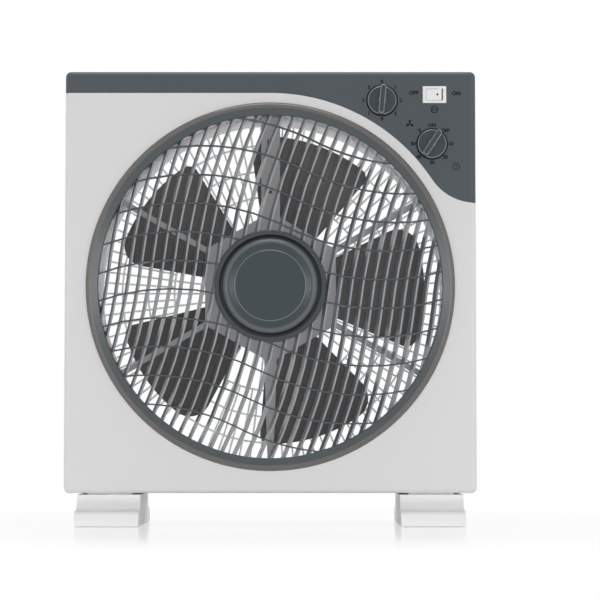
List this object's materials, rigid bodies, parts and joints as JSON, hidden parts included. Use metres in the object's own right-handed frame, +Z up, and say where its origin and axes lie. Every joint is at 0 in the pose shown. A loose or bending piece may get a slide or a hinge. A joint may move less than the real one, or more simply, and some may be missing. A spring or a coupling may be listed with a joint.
{
  "type": "box fan",
  "caption": "Free-standing box fan with a square case on two feet, a rotating louver wheel over a bladed fan, a corner panel with dials and a rocker switch, and a rear guard.",
  "frame": {"origin": "on the floor, under the middle of the two feet", "axes": "+Z up, the front with the louver faces -Y, +X to the right as seen from the front"},
  "size_m": [0.368, 0.176, 0.4061],
  "materials": {
    "white_plastic": "satin moulded plastic",
    "carrier_plastic": "satin moulded plastic",
    "slate_plastic": "fine-grained moulded plastic",
    "louver_plastic": "satin moulded plastic",
    "blade_plastic": "glossy moulded plastic",
    "knob_plastic": "satin moulded plastic",
    "black_plastic": "matte moulded plastic",
    "rubber": "matte",
    "zinc_steel": "zinc-plated sheet",
    "steel": "plain steel",
    "copper": "lacquered copper wire",
    "bronze": "sintered bronze"
  },
  "bodies": {
    "housing": {"front_shell": "white_plastic", "air_duct": "white_plastic", "rear_shell": "white_plastic", "foot_left": "white_plastic", "foot_right": "white_plastic", "rear_grille": "white_plastic", "switch_frame": "white_plastic", "louver_spider": "carrier_plastic", "control_panel": "slate_plastic", "speed_switch": "black_plastic", "timer_unit": "black_plastic", "capacitor": "black_plastic", "cord_inlet": "rubber", "louver_motor": "zinc_steel", "motor_front_cap": "zinc_steel", "motor_rear_cap": "zinc_steel", "stator_core": "steel", "case_screws": "steel", "foot_screws": "steel", "motor_screws": "steel", "grille_screws": "steel", "spider_screws": "steel", "louver_motor_screws": "steel", "capacitor_screw": "steel", "stator_winding": "copper", "front_bush": "bronze", "rear_bush": "bronze"},
    "fan": {"fan_impeller": "blade_plastic", "blade_nut": "blade_plastic", "motor_shaft": "steel", "motor_rotor": "steel"},
    "louver": {"louver_wheel": "louver_plastic", "louver_cap": "louver_plastic", "louver_shaft": "steel", "louver_screw": "steel"},
    "speed_dial": {"speed_knob": "knob_plastic", "speed_shaft": "steel"},
    "timer_dial": {"timer_knob": "knob_plastic", "timer_shaft": "steel"},
    "louver_switch": {"louver_rocker": "white_plastic"}
  },
  "joints": [
    {"name": "fan_spin", "type": "hinge", "parent": "housing", "child": "fan", "pos_m": [0, 0, 0.213], "axis": [0, 1, 0], "continuous": true},
    {"name": "louver_spin", "type": "hinge", "parent": "housing", "child": "louver", "pos_m": [0, 0, 0.213], "axis": [0, 1, 0], "continuous": true},
    {"name": "speed_knob_turn", "type": "hinge", "parent": "housing", "child": "speed_dial", "pos_m": [0.1001, 0, 0.37979], "axis": [0, 1, 0], "continuous": true},
    {"name": "timer_knob_turn", "type": "hinge", "parent": "housing", "child": "timer_dial", "pos_m": [0.14479, 0, 0.34061], "axis": [0, 1, 0], "range_deg": [-33, 282]},
    {"name": "louver_switch_rock", "type": "hinge", "parent": "housing", "child": "louver_switch", "pos_m": [0.1471, -0.057, 0.3849], "axis": [0, 0, 1], "range_deg": [0, 16]}
  ]
}
